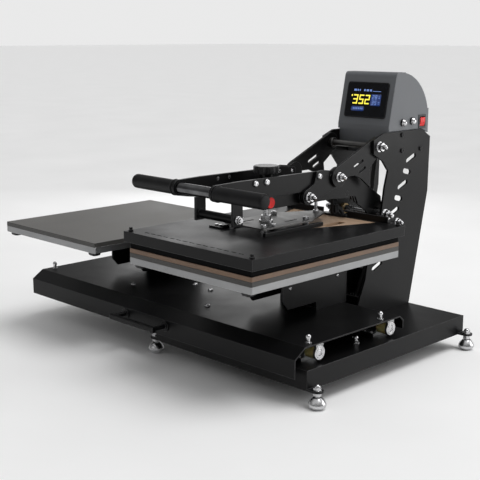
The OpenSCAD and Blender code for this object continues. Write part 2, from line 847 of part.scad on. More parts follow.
// rails beside the yoke, the rear angle, and the slotted plate that the arm's cross
// tube guides, with the lead's clamp on its foot
module head_brackets() color(soft_black) station() {
    both_sides() box(65, 74, 172, 370, head_top, head_top + 9);
    box(-107, -65, 167, 200, head_top, head_top + 4);
    difference() {
        box(-165, 165, head_back - 8, head_back - 4, head_top, head_top + 15);
        box(-40, 40, 490, 520, head_top - 1, head_top + 16);
    }
    along_x(-4, 4) difference() {
        union() {
            translate(guide_p - [0, 2]) circle(16);
            polygon([[489, head_top + 4], [505, head_top + 4], [505, 406], [489, 414]]);
        }
        slot_2d(guide_p - [0, 2], 23, 15, 90);
    }
    box(-9, 9, 493, 505, 348, 368);
    box(-36, 36, 491, head_back - 1, head_top, head_top + 4);
}

// flange and nut that the screw's lower end turns in
module screw_socket() color(steel) station() difference() {
    union() {
        rod_z(0, screw_y, yoke_z + 4, yoke_z + 8, 16);
        hex_z(0, screw_y, yoke_z + 8, yoke_z + 19, 13);
    }
    rod_z(0, screw_y, yoke_z, beam_z0, 7 + fit);
}

// ---------------------------------------------------------------- lever and link

module lever_outline() difference() {
    union() {
        translate(grip_p) circle(19);
        translate(toggle_p) circle(24);
        polygon([
            [315, 432.7], [412.5, 474.5], [423, 453], [433, 431], [331, 398], [305, 420]
        ]);
    }
    translate(grip_p) circle(pin_r + fit);
    for (p = bar_bolts) translate(p) circle(4);
}

bar_bolts = [[357, 461], [402, 458]];
front_bolts = [[150, 464], [186, 464]];

module lever_plates() color(black) station()
    both_sides() along_x(lever_x, lever_x + plate_t) difference() {
        union() {
            lever_outline();
            polygon([[340, 443], [350, 472], [372, 474], [402, 470], [380, 450]]);
        }
        for (p = bar_bolts) translate(p) circle(4);
    }

module bar_outline() difference() {
    union() {
        translate([handle_y, handle_z]) circle(18);
        polygon([
            [handle_y, handle_z - 18], [60, 432], [90, 428], [345, 428], [414, 440],
            [414, 466], [352, 472], [100, 474], [handle_y, handle_z + 18]
        ]);
    }
    translate([handle_y, handle_z]) circle(tube_r);
    for (p = concat(bar_bolts, front_bolts)) translate(p) circle(4);
}

module handle_bars() color(black) station()
    both_sides() along_x(bar_x, bar_x + plate_t) bar_outline();

module handle_tube() color(steel) station() difference() {
    rod_x(-grip_end + 5, grip_end - 5, [handle_y, handle_z], tube_r);
    rod_x(-grip_end, grip_end, [handle_y, handle_z], tube_r - 2);
}

module grips() color("#2f2f31") station() both_sides() difference() {
    union() {
        rod_x(66, grip_end - 4, [handle_y, handle_z], grip_r);
        rod_x(grip_end - 4, grip_end, [handle_y, handle_z], grip_r - 2);
        rod_x(66, 71, [handle_y, handle_z], grip_r + 2);
    }
    rod_x(60, grip_end - 5, [handle_y, handle_z], tube_r);
}

latch_y = 96;
latch_z = 389;

// legs under the handle bars, with a round bar between them
module latch_frame() color(black) station() {
    both_sides() along_x(bar_x, bar_x + plate_t) difference() {
        translate([latch_y - 15, latch_z - 14]) square([30, 428 - latch_z + 14]);
        translate([latch_y, latch_z]) circle(5);
    }
    rod_x(-bar_x, bar_x, [latch_y, latch_z], 10);
}

module lever_bolts() color(steel) station() both_sides() {
    for (p = bar_bolts) rod_x(bar_x, lever_x + plate_t, p, 4);
    rod_x(lever_x + plate_t, lever_x + plate_t + 4.5, bar_bolts[0], 6.5);
    for (p = front_bolts) {
        rod_x(bar_x, bar_x + plate_t, p, 4);
        rod_x(bar_x + plate_t, bar_x + plate_t + 4, p, 6.5);
    }
    rod_x(bar_x, bar_x + plate_t + 12, [latch_y, latch_z], 5);
    difference() {
        union() {
            rod_x(bar_x + plate_t, bar_x + plate_t + 1.5, [latch_y, latch_z], 9);
            hex_x(bar_x + plate_t + 1.5, bar_x + plate_t + 8, [latch_y, latch_z], 8);
        }
        rod_x(bar_x, bar_x + plate_t + 9, [latch_y, latch_z], 4);
    }
}

// broad link with a straight upper edge and a lobe that hangs over the arm
module link_outline() difference() {
    union() {
        translate(upper_p) circle(25);
        translate(toggle_p) circle(25);
        polygon([
            [413.2, 476], [558.3, 537.5], [592, 508], [566, 484], [538, 464], [545, 414],
            [509, 440], [482, 451], [455, 451], [432, 430]
        ]);
    }
    translate(upper_p) circle(upper_r + fit);
    translate(toggle_p) circle(5);
    for (i = [0, 1]) slot_2d([496 + 14 * i, 478 - 16 * i], 40 - 10 * i, 8, 23);
}

module link_plates() color(black) station()
    both_sides() along_x(link_x, link_x + plate_t) link_outline();

module link_bolts() color(steel) station() both_sides() {
    rod_x(link_x - 0.2, link_x + plate_t, toggle_p, 5);
    capped_nut_x(link_x + plate_t, toggle_p, 9);
}

// ---------------------------------------------------------------- assembly

base_tray();
levelling_feet();
foot_lock_nuts();
rail_blocks();
rail_bushes();
base_bolts();
tower_plate_right();
tower_plate_left();
tower_braces();
tower_bolts();
upper_pivot_shaft();
lower_pivot_shaft();
control_box_shell();
display_frame();
display_glass();
fuse_holders();
rocker_frame();
rocker_switch();
power_inlet();
control_board();
tower_lead();
sled_tray();
slide_shafts();
end_bumpers();
end_discs();
sled_bolts();
sled_handle();
pedestal_right();
pedestal_left();
platen_right();
platen_left();
pad_right();
pad_left();
arm_plates();
press_beam();
arm_cross_tubes();
arm_pivot_pins();
arm_bushes();
arm_lead();
release_button();
pressure_knob();
adjusting_screw();
head_cover();
insulation_board();
heater_element();
head_frame();
heat_platen();
corner_posts();
yoke_plate();
yoke_bolts();
head_brackets();
screw_socket();
lever_plates();
handle_bars();
handle_tube();
grips();
latch_frame();
lever_bolts();
link_plates();
link_bolts();
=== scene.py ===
"""Looks of the heat press: materials on every CAD part, and detail pieces that ride on its bodies."""

import json
import math

import bpy
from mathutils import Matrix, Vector


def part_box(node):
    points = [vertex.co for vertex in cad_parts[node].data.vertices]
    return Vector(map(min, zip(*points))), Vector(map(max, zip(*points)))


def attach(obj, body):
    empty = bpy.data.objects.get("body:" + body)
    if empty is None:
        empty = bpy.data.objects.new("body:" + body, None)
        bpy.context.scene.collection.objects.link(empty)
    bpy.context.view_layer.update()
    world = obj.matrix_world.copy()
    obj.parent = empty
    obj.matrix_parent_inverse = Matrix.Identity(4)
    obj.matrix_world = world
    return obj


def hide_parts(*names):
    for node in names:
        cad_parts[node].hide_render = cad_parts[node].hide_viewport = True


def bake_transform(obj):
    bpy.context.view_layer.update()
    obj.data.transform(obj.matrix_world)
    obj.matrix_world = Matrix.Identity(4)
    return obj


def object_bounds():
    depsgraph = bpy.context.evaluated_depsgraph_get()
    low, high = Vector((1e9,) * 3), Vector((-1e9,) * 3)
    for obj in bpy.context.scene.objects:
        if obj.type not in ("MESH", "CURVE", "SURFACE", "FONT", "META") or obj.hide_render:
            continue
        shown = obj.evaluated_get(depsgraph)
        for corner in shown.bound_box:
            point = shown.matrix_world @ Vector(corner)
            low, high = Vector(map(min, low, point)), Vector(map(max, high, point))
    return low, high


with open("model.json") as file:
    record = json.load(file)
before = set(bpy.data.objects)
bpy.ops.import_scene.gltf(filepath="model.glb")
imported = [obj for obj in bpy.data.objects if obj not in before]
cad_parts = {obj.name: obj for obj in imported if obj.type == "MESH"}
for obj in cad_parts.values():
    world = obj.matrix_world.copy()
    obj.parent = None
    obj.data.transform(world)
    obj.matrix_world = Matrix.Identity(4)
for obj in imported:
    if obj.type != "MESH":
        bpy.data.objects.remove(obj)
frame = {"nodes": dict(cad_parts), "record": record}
cad_low, cad_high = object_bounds()

MM = 0.001
bed_low, bed_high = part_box("pad_right")
PRESS_X = (bed_low.x + bed_high.x) / 2
BED_FRONT = bed_low.y
FLOOR_HALF = 60                     # metres from the middle of the floor to its edges

# places and sizes in millimetres, in the frame that at() takes
BEDS = (0, -536)                    # middle of each bed along x
SIDES = (-1, 1)
BAR_FACE = 63                       # outer face of each handle bar, from the middle plane
LEVER_FACE = 70                     # the same for the lever plates, tower plates and pedestals
TOWER_FACE = 84
PEDESTAL_FACE = 60
SLED_TOP = 130                      # from the floor
LEAD_RADIUS = 6
BAR_SCREWS = ((150, 464), (186, 464))
LEVER_SCREW = (357, 461)            # screws and fuses on side faces are (y, z), sled screws (x, y)
BOX_SCREWS = ((660.5, 537.6), (661.4, 497.4), (742, 497))
SLED_SCREWS = ((-448, 204), (-153, 202), (-448, 400), (-153, 400), (-331, 322), (-259, 311))
PEDESTAL_SCREWS = ((271, 202), (444, 204))
FUSES = ((664, 568), (704, 570))
FUSE_DOME = 8                       # height of a fuse holder's dome
TAB_PLACE = (176, 16)               # a platen tab's distance from the bed's middle and front edge
TAB_HALF = (14, 12)


def at(x, y, z):
    """A point in millimetres from the press bed's front middle, with z from the floor, in the frame."""
    return Vector((PRESS_X + x * MM, BED_FRONT + y * MM, z * MM))


# ---------------------------------------------------------------- camera and light

CAMERA_AT = at(1555, -1369, 787)
CAMERA_YAW = 45.4
CAMERA_PITCH = 11.93
LENS = 72.9


def make_camera():
    data = bpy.data.cameras.new("camera")
    data.lens = LENS
    data.sensor_width = 36
    camera = bpy.data.objects.new("camera", data)
    camera.location = CAMERA_AT
    camera.rotation_euler = (math.radians(90 - CAMERA_PITCH), 0, math.radians(CAMERA_YAW))
    bpy.context.scene.collection.objects.link(camera)
    bpy.context.scene.camera = camera


def add_light(name, kind, place, target, energy, **settings):
    data = bpy.data.lights.new(name, kind)
    data.energy = energy
    for setting, value in settings.items():
        setattr(data, setting, value)
    light = bpy.data.objects.new(name, data)
    light.location = place
    light.rotation_euler = (Vector(target) - Vector(place)).to_track_quat("-Z", "Y").to_euler()
    light.visible_camera = False
    bpy.context.scene.collection.objects.link(light)


def studio_world():
    """A pale room: bright at the floor line and overhead, with a grey band between."""
    world = bpy.data.worlds.new("studio")
    world.use_nodes = True
    nodes, links = world.node_tree.nodes, world.node_tree.links
    place = nodes.new("ShaderNodeTexCoord")
    split = nodes.new("ShaderNodeSeparateXYZ")
    ramp = nodes.new("ShaderNodeValToRGB")
    stops = ((0.0, 0.82), (0.035, 0.82), (0.09, 0.2), (0.5, 0.2), (0.8, 0.62), (1.0, 0.7))
    for _ in stops[2:]:
        ramp.color_ramp.elements.new(0.5)
    for element, (position, grey) in zip(ramp.color_ramp.elements, stops):
        element.position = position
        element.color = (grey, grey, grey, 1)
    links.new(place.outputs["Generated"], split.inputs["Vector"])
    links.new(split.outputs["Z"], ramp.inputs["Fac"])
    links.new(ramp.outputs["Color"], nodes["Background"].inputs["Color"])
    nodes["Background"].inputs["Strength"].default_value = 1.0
    bpy.context.scene.world = world
    bpy.context.scene.view_settings.view_transform = "Standard"


def make_light():
    middle = (cad_low + cad_high) / 2
    add_light("overhead_sun", "SUN", middle + Vector((0.55, 0.35, 2)), middle, 1.35, angle=math.radians(35))
    add_light("side_softbox", "AREA", middle + Vector((1.9, 1.5, 0.5)), middle + Vector((0.3, 0, 0.1)), 16.5,
              shape="RECTANGLE", size=1.6, size_y=1.2)
    add_light("back_softbox", "AREA", middle + Vector((-1.6, 1.7, 0.45)), middle, 5.5,
              shape="RECTANGLE", size=1.4, size_y=1.0)
    add_light("front_softbox", "AREA", middle + Vector((-0.4, -2.6, 1.3)), middle, 1.6,
              shape="RECTANGLE", size=1.8, size_y=1.0)
    studio_world()


# ---------------------------------------------------------------- material parts

class Look:
    """A material being built: its node tree, its shader, and short ways to add nodes."""

    def __init__(self, name, **sockets):
        self.material = bpy.data.materials.new(name)
        self.material.use_nodes = True
        self.tree = self.material.node_tree
        self.shader = self.tree.nodes["Principled BSDF"]
        self.place = self.add("ShaderNodeTexCoord").outputs["Object"]
        self.bent = None
        for socket, value in sockets.items():
            self.shader.inputs[socket.replace("_", " ")].default_value = value

    def add(self, kind, **settings):
        made = self.tree.nodes.new(kind)
        for name, value in settings.items():
            setattr(made, name, value)
        return made

    def link(self, source, target):
        self.tree.links.new(source, target)

    def stretched(self, scale, turn=(0, 0, 0)):
        mapping = self.add("ShaderNodeMapping")
        mapping.inputs["Scale"].default_value = scale
        mapping.inputs["Rotation"].default_value = [math.radians(a) for a in turn]
        self.link(self.place, mapping.inputs["Vector"])
        return mapping.outputs["Vector"]

    def noise(self, scale, detail=3, rough=0.5, where=None):
        made = self.add("ShaderNodeTexNoise")
        made.inputs["Scale"].default_value = scale
        made.inputs["Detail"].default_value = detail
        made.inputs["Roughness"].default_value = rough
        self.link(where or self.place, made.inputs["Vector"])
        return made.outputs["Fac"]

    def cells(self, scale, feature="F1", where=None):
        made = self.add("ShaderNodeTexVoronoi", feature=feature)
        made.inputs["Scale"].default_value = scale
        self.link(where or self.place, made.inputs["Vector"])
        return made.outputs["Distance"]

    def spread(self, value, low, high, out_low=0, out_high=1):
        made = self.add("ShaderNodeMapRange")
        limits = (low, high, out_low, out_high)
        for socket, number in zip(("From Min", "From Max", "To Min", "To Max"), limits):
            made.inputs[socket].default_value = number
        self.link(value, made.inputs["Value"])
        return made.outputs["Result"]

    def mix(self, amount, first, second):
        made = self.add("ShaderNodeMix", data_type="RGBA")
        self.link(amount, made.inputs["Factor"])
        for socket, colour in ((made.inputs[6], first), (made.inputs[7], second)):
            if isinstance(colour, bpy.types.NodeSocket):
                self.link(colour, socket)
            else:
                socket.default_value = (*colour, 1)
        return made.outputs[2]

    def math(self, operation, first, second=0.0):
        made = self.add("ShaderNodeMath", operation=operation)
        for socket, value in zip(made.inputs, (first, second)):
            if isinstance(value, bpy.types.NodeSocket):
                self.link(value, socket)
            else:
                socket.default_value = value
        return made.outputs[0]

    def round_edges(self, radius):
        """Softens sharp edges, and returns a mask that is 1 along them."""
        bevel = self.add("ShaderNodeBevel", samples=6)
        bevel.inputs["Radius"].default_value = radius
        self.bent = bevel.outputs["Normal"]
        flat = self.add("ShaderNodeNewGeometry").outputs["Normal"]
        dot = self.add("ShaderNodeVectorMath", operation="DOT_PRODUCT")
        self.link(self.bent, dot.inputs[0])
        self.link(flat, dot.inputs[1])
        return self.spread(dot.outputs["Value"], 0.99, 0.86)

    def bump(self, height, strength, depth):
        made = self.add("ShaderNodeBump")
        made.inputs["Strength"].default_value = strength
        made.inputs["Distance"].default_value = depth
        self.link(height, made.inputs["Height"])
        if self.bent is not None:
            self.link(self.bent, made.inputs["Normal"])
        self.bent = made.outputs["Normal"]

    def finish(self, colour=None, rough=None):
        if colour is not None:
            self.link(colour, self.shader.inputs["Base Color"])
        if rough is not None:
            self.link(rough, self.shader.inputs["Roughness"])
        if self.bent is not None:
            self.link(self.bent, self.shader.inputs["Normal"])
        return self.material


def coated_metal(name, dark, light, edge_wear_and_highlight, rough=(0.34, 0.48), grain=1500, radius=0.0009, shine=0.25):
    """Powder coat: fine orange peel, faint cloudiness, and edges painted a little brighter, partly edge wear
    and partly a painted highlight.
    """
    look = Look(name, Specular_IOR_Level=shine)
    edge = look.round_edges(radius)
    cloud = look.noise(9, 4)
    speck = look.noise(grain, 2)
    colour = look.mix(look.spread(cloud, 0.35, 0.7), dark, light)
    # mask for the lighter edge colour: part edge wear, part painted highlight along the edges
    wear_and_highlight_mask = look.math("MULTIPLY", edge, look.spread(look.noise(260, 3), 0.22, 0.6))
    colour = look.mix(wear_and_highlight_mask, colour, edge_wear_and_highlight)
    look.bump(speck, 0.22, 0.00012)
    look.bump(look.cells(grain * 0.42), 0.12, 0.00010)
    smear = look.math("ADD", look.math("MULTIPLY", cloud, 0.65), look.math("MULTIPLY", speck, 0.35))
    return look.finish(colour, look.spread(smear, 0.35, 0.65, *rough))


def turned_metal(name, dark, light, rough=(0.14, 0.3), grain=(40, 900, 900), scratch=0.12, radius=0.0006,
                 patches=38):
    """Bare metal with scuffed patches, edges painted near white as a painted highlight, and a grain drawn out
    along the axes where its scale is low.
    """
    look = Look(name, Metallic=1.0)
    edge = look.round_edges(radius)
    lines = look.noise(1, 3, 0.6, look.stretched(grain))
    patch = look.noise(patches, 4)
    colour = look.mix(look.spread(patch, 0.35, 0.68), dark, light)
    # edges painted near white: a painted highlight
    colour = look.mix(look.math("MULTIPLY", edge, 0.5), colour, (0.9, 0.9, 0.9))
    look.bump(lines, scratch, 0.00005)
    tone = look.math("ADD", look.math("MULTIPLY", lines, 0.5), look.math("MULTIPLY", patch, 0.5))
    return look.finish(colour, look.spread(tone, 0.35, 0.65, *rough))


def moulded(name, dark, light, rough=(0.4, 0.55), grain=2200, strength=0.25, radius=0.0007, **sockets):
    """Moulded plastic or rubber with a fine spark-eroded texture."""
    look = Look(name, **sockets)
    look.round_edges(radius)
    grains = look.noise(grain, 2)
    cloud = look.noise(30, 4)
    look.bump(grains, strength, 0.00010)
    return look.finish(look.mix(look.spread(cloud, 0.35, 0.68), dark, light),
                       look.spread(grains, 0.3, 0.7, *rough))


def silicone_sponge(name):
    """Closed-cell silicone pad: a fine pebbled skin over grey-brown rubber, with painted shade darkening its
    sides and underside.
    """
    look = Look(name, Sheen_Weight=0.15)
    look.round_edges(0.0012)
    pores = look.cells(700)
    cloud = look.noise(7, 5)
    tone = look.mix(look.spread(cloud, 0.3, 0.7), (0.1, 0.096, 0.09), (0.128, 0.123, 0.115))
    tone = look.mix(look.spread(pores, 0.25, 0.75, 0.0, 0.35), tone, (0.06, 0.058, 0.054))
    # faces turned away from up get a dark colour: painted shade on the sides
    facing = look.add("ShaderNodeSeparateXYZ")
    look.link(look.add("ShaderNodeNewGeometry").outputs["Normal"], facing.inputs["Vector"])
    tone = look.mix(look.spread(facing.outputs["Z"], 0.6, 0.1), tone, (0.036, 0.034, 0.031))
    look.bump(pores, 0.25, 0.00018)
    look.bump(look.noise(55, 4), 0.06, 0.0006)
    return look.finish(tone, look.spread(cloud, 0.3, 0.7, 0.5, 0.62))


def fibre_board(name):
    """Pressed glass-fibre board: long pale fibres across a tan ground."""
    look = Look(name, Sheen_Weight=0.2)
    look.round_edges(0.0008)
    along = look.noise(1, 5, 0.65, look.stretched((60, 700, 400), (0, 0, 24)))
    across = look.noise(1, 5, 0.65, look.stretched((700, 60, 400), (0, 0, -17)))
    fibres = look.math("MAXIMUM", along, across)
    tone = look.mix(look.spread(fibres, 0.45, 0.75), (0.34, 0.21, 0.12), (0.62, 0.45, 0.3))
    tone = look.mix(look.spread(look.noise(14, 4), 0.4, 0.75, 0, 0.6), tone, (0.28, 0.17, 0.1))
    look.bump(fibres, 0.4, 0.0003)
    return look.finish(tone, look.spread(fibres, 0.4, 0.8, 0.75, 0.92))


def coated_platen(name):
    """Tan non-stick coating on the heated platen, browned in patches, with its edges painted lighter as a
    painted highlight.
    """
    look = Look(name)
    edge = look.round_edges(0.0008)
    patch = look.noise(22, 5)
    speck = look.cells(900)
    tone = look.mix(look.spread(patch, 0.35, 0.7), (0.145, 0.084, 0.05), (0.2, 0.124, 0.077))
    tone = look.mix(look.spread(speck, 0.0, 0.22, 0.5, 0.0), tone, (0.09, 0.052, 0.031))
    # edges painted lighter tan: a painted highlight
    tone = look.mix(look.math("MULTIPLY", edge, 0.6), tone, (0.34, 0.225, 0.15))
    look.bump(speck, 0.15, 0.0001)
    return look.finish(tone, look.spread(patch, 0.35, 0.7, 0.42, 0.6))


def polyurethane(name):
    """Cast olive polyurethane: slightly cloudy, waxy, with faint casting rings."""
    look = Look(name, Subsurface_Weight=0.25, Subsurface_Scale=0.004)
    look.round_edges(0.0012)
    cloud = look.noise(110, 4)
    rings = look.noise(1, 3, 0.6, look.stretched((420, 30, 30)))
    tone = look.mix(look.spread(cloud, 0.35, 0.65), (0.27, 0.235, 0.085), (0.42, 0.37, 0.16))
    look.bump(rings, 0.25, 0.0002)
    return look.finish(tone, look.spread(rings, 0.35, 0.65, 0.28, 0.42))


def screen_glass(name):
    """Black glass with a faint cloudy haze."""
    look = Look(name, Specular_IOR_Level=0.3)
    look.round_edges(0.0005)
    haze = look.noise(60, 4)
    tone = look.mix(look.spread(haze, 0.4, 0.7), (0.0022, 0.0025, 0.004), (0.004, 0.0046, 0.007))
    return look.finish(tone, look.spread(haze, 0.35, 0.65, 0.035, 0.07))


def lit_segment(name, colour, power):
    """A lit display segment, with the fine grid of its backlight."""
    look = Look(name, Emission_Strength=power, Roughness=0.3)
    look.shader.inputs["Base Color"].default_value = (*[c * 0.4 for c in colour], 1)
    grid = look.cells(2600)
    dim = [c * 0.72 for c in colour]
    tone = look.mix(look.spread(grid, 0.2, 0.7), colour, dim)
    look.link(tone, look.shader.inputs["Emission Color"])
    return look.finish()


def circuit(name):
    """Green solder mask over copper tracks."""
    look = Look(name)
    look.round_edges(0.0005)
    tracks = look.add("ShaderNodeTexBrick")
    tracks.inputs["Scale"].default_value = 90
    tracks.inputs["Mortar Size"].default_value = 0.06
    tracks.inputs["Color1"].default_value = (0.012, 0.1, 0.035, 1)
    tracks.inputs["Color2"].default_value = (0.016, 0.13, 0.045, 1)
    tracks.inputs["Mortar"].default_value = (0.05, 0.22, 0.08, 1)
    look.link(look.place, tracks.inputs["Vector"])
    look.bump(look.noise(900, 2), 0.15, 0.0001)
    return look.finish(tracks.outputs["Color"], look.spread(look.noise(70), 0.3, 0.7, 0.3, 0.5))


def pale_floor(name):
    look = Look(name)
    cloud = look.noise(2.5, 4)
    tone = look.mix(look.spread(cloud, 0.3, 0.7), (0.92, 0.92, 0.92), (0.945, 0.945, 0.945))
    return look.finish(tone, look.spread(cloud, 0.3, 0.7, 0.55, 0.65))


LOOKS = {
    "black_coat": coated_metal("black_powder_coat", (0.0034, 0.0034, 0.0037), (0.0052, 0.0052, 0.0056),
                               (0.1, 0.1, 0.103), (0.3, 0.42), 1500, 0.0019, 0.17),
    "grey_coat": coated_metal("grey_powder_coat", (0.118, 0.124, 0.133), (0.134, 0.141, 0.151),
                              (0.27, 0.28, 0.295), (0.42, 0.55), 1300, 0.0034, 0.4),
    "bright_steel": turned_metal("ground_steel", (0.5, 0.5, 0.51), (0.68, 0.68, 0.69), (0.16, 0.3)),
    "chrome": turned_metal("plated_steel", (0.5, 0.5, 0.51), (0.7, 0.7, 0.71), (0.18, 0.3),
                           (300, 300, 300), 0.08),
    "aluminium": turned_metal("milled_aluminium", (0.25, 0.253, 0.256), (0.31, 0.313, 0.316), (0.26, 0.38),
                              (6, 6, 2600), 0.3, 0.0009, 9),
    "yoke_steel": turned_metal("dull_zinc", (0.1, 0.098, 0.096), (0.15, 0.147, 0.144), (0.34, 0.48),
                               (20, 600, 20), 0.2),
    "bronze": turned_metal("sintered_bronze", (0.35, 0.24, 0.11), (0.5, 0.36, 0.18), (0.3, 0.45),
                           (500, 500, 500), 0.25),
    "bumper": polyurethane("olive_polyurethane"),
    "silicone": silicone_sponge("silicone_sponge"),
    "grip_rubber": moulded("grip_rubber", (0.007, 0.007, 0.0075), (0.011, 0.011, 0.0115), (0.38, 0.5), 1100,
                           0.35, Specular_IOR_Level=0.14),
    "lead": moulded("lead_sleeve", (0.009, 0.009, 0.009), (0.014, 0.014, 0.014), (0.45, 0.6), 1400, 0.3),
    "insulation": fibre_board("insulation_board"),
    "platen_coat": coated_platen("platen_coating"),
    "element": turned_metal("heater_sheath", (0.12, 0.08, 0.06), (0.22, 0.14, 0.1), (0.4, 0.55)),
    "display": screen_glass("display_glass"),
    "black_plastic": moulded("black_plastic", (0.006, 0.006, 0.0065), (0.01, 0.01, 0.011), (0.24, 0.36),
                             Specular_IOR_Level=0.3),
    "red_plastic": moulded("red_plastic", (0.6, 0.0035, 0.003), (0.75, 0.006, 0.005), (0.14, 0.24), 900, 0.06,
                           Specular_IOR_Level=0.25),
    "board": circuit("circuit_board"),
    # a darker, duller copy of the black coat for the head frame: painted shade in the recess under the cover
    "recess_painted_shade": coated_metal("recess_painted_shade", (0.0014, 0.0014, 0.0015), (0.0022, 0.0022, 0.0024),
                                (0.01, 0.01, 0.01), (0.62, 0.74), 1500, 0.0008, 0.06),
    # plated steel darkened all over: painted shade standing in for the dark surroundings it reflects
    "chrome_painted_shade": turned_metal("chrome_painted_shade", (0.1, 0.1, 0.103), (0.17, 0.17, 0.174), (0.14, 0.24)),
}


def dress(piece, slot):
    piece.data.materials.clear()
    piece.data.materials.append(LOOKS[slot])


def dress_cad():
    for row in frame["record"]["subparts"]:
        dress(frame["nodes"][row["node"]], row["material_slot"])
    # the handle tube gets the darkened chrome: painted shade for the dark surroundings it reflects
    dress(frame["nodes"]["handle_tube"], "chrome_painted_shade")
    # the head frame gets the darker coat: painted shade in the recess under the cover
    dress(frame["nodes"]["head_frame"], "recess_painted_shade")


# ---------------------------------------------------------------- mesh helpers

def new_piece(name, points, faces, slot, body, smooth=30):
    """A mesh piece in the frame, with a record slot's material, that rides on a body."""
    mesh = bpy.data.meshes.new(name)
    mesh.from_pydata([tuple(p) for p in points], [], faces)
    mesh.validate()
    mesh.shade_smooth()
    piece = bpy.data.objects.new(name, mesh)
    bpy.context.scene.collection.objects.link(piece)
    if smooth:
        mesh.set_sharp_from_angle(angle=math.radians(smooth))
    if slot:
        dress(piece, slot)
    if body:
        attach(piece, body)
    return piece


def frame_along(axis):
    """Two unit vectors square to axis and to each other."""
    axis = Vector(axis).normalized()
    side = axis.orthogonal().normalized()
    return side, axis.cross(side)


def rings_mesh(rings, closed_ends=True):
    """Points and faces of a skin through rings of equal length, first to last."""
    count = len(rings[0])
    points = [p for ring in rings for p in ring]
    faces = []
    for k in range(len(rings) - 1):
        for i in range(count):
            j = (i + 1) % count
            faces.append((k * count + i, k * count + j, (k + 1) * count + j, (k + 1) * count + i))
    if closed_ends:
        faces.append(tuple(range(count - 1, -1, -1)))
        faces.append(tuple(range((len(rings) - 1) * count, len(rings) * count)))
    return points, faces


def turned(centre, axis, profile, count=48, shape=None, side=None):
    """Rings of a turned piece. profile lists (distance along axis, radius) in millimetres, and
    shape(angle, k) scales ring k's radius, for hexagons and lobes."""
    axis = Vector(axis).normalized()
    u = Vector(side) if side else frame_along(axis)[0]
    v = axis.cross(u)
    rings = []
    for k, (along, radius) in enumerate(profile):
        ring = []
        for i in range(count):
            angle = 2 * math.pi * i / count
            r = radius * MM * (shape(angle, k) if shape else 1)
            ring.append(Vector(centre) + axis * along * MM + (u * math.cos(angle) + v * math.sin(angle)) * r)
        rings.append(ring)
    return rings


def join_meshes(parts):
    points, faces = [], []
    for more_points, more_faces in parts:
        faces += [tuple(i + len(points) for i in f) for f in more_faces]
        points += more_points
    return points, faces


def smooth_path(points, step=0.004):
    """Points along a Catmull-Rom curve through the given ones, about a step apart."""
    padded = [points[0] * 2 - points[1], *points, points[-1] * 2 - points[-2]]
    found = []
    for a, b, c, d in zip(padded, padded[1:], padded[2:], padded[3:]):
        count = max(2, round((c - b).length / step))
        for i in range(count):
            t = i / count
            found.append(0.5 * ((2 * b) + (c - a) * t + (2 * a - 5 * b + 4 * c - d) * t * t
                                + (3 * b - a - 3 * c + d) * t ** 3))
    return found + [points[-1]]


def tube(points, radius, count=20):
    """Rings of a tube along a path, turned as little as possible from one to the next."""
    rings = []
    side = frame_along(points[1] - points[0])[0]
    for i, point in enumerate(points):
        ahead = points[min(i + 1, len(points) - 1)] - points[max(i - 1, 0)]
        ahead.normalize()
        side = (side - ahead * side.dot(ahead)).normalized()
        across = ahead.cross(side)
        rings.append([point + (side * math.cos(a) + across * math.sin(a)) * radius
                      for a in (2 * math.pi * k / count for k in range(count))])
    return rings


def solids(node):
    """Boxes (low, high) of the separate solids of a CAD node, sorted along x, then y, then z."""
    mesh = frame["nodes"][node].data
    keys = [tuple(round(c, 5) for c in v.co) for v in mesh.vertices]
    leader = {k: k for k in keys}

    def find(k):
        while leader[k] != k:
            leader[k] = leader[leader[k]]
            k = leader[k]
        return k

    for polygon in mesh.polygons:
        corners = [find(keys[i]) for i in polygon.vertices]
        for other in corners[1:]:
            leader[find(other)] = find(corners[0])
    groups = {}
    for k in set(keys):
        groups.setdefault(find(k), []).append(k)
    boxes = [tuple(Vector([pick(p[a] for p in group) for a in range(3)]) for pick in (min, max))
             for group in groups.values()]
    return sorted(boxes, key=lambda b: tuple(round(c, 4) for c in b[0]))


# ---------------------------------------------------------------- detail pieces

def make_grips():
    """Rubber sleeves with a flange at the inner end and a rolled outer end."""
    for name, (low, high) in zip(("grip_left", "grip_right"), solids("grips")):
        centre = (low + high) / 2
        inward = 1 if centre.x < PRESS_X else -1
        length = (high.x - low.x) / MM
        big = (high.z - low.z) / 2 / MM
        r = big - 2
        profile = [(0, 0.2), (0, r - 5), (0.6, r - 3), (2, r - 1.2), (4, r - 0.3), (7, r), (length - 9, r),
                   (length - 7, r + 0.6), (length - 5.5, big - 0.3), (length - 4, big), (length - 1.5, big),
                   (length - 0.4, big - 0.6), (length, big - 2), (length, r - 5)]
        start = Vector((low.x if inward > 0 else high.x, centre.y, centre.z))
        points, faces = rings_mesh(turned(start, (inward, 0, 0), profile, 64))
        piece = new_piece(name, points, faces, "grip_rubber", "lever", 50)
        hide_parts("grips")


def make_feet():
    """Bell feet with a rolled rim and a cut thread on the stud."""
    for index, (low, high) in enumerate(solids("levelling_feet")):
        centre = Vector(((low.x + high.x) / 2, (low.y + high.y) / 2, 0))
        r = (high.x - low.x) / 2 / MM
        bell = [(0.0, r - 8), (0.4, r - 7.2), (1.6, r - 5.6), (3, r - 3.9), (5, r - 2), (7, r - 0.8),
                (9, r - 0.1), (11, r), (12.5, r - 0.2), (14.5, r - 1), (17, r - 2.3), (19.5, r - 3.9),
                (21.5, r - 5.4), (23.5, r - 7.2), (25, r - 8.6), (26.2, r - 9.6), (27, r - 11.5),
                (27, 4.2)]
        bell_points = rings_mesh(turned(centre, (0, 0, 1), bell, 64))
        points, faces = join_meshes([bell_points, thread(centre, 27, high.z / MM, 4.9, 1.5)])
        piece = new_piece(f"foot_{index}", points, faces, "chrome", "root", 40)
        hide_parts("levelling_feet")


def hex_shape(angle, _ring):
    """Radius of a regular hexagon, as a share of the radius of its corners."""
    sector = math.radians(60)
    return math.cos(sector / 2) / math.cos((angle % sector) - sector / 2)


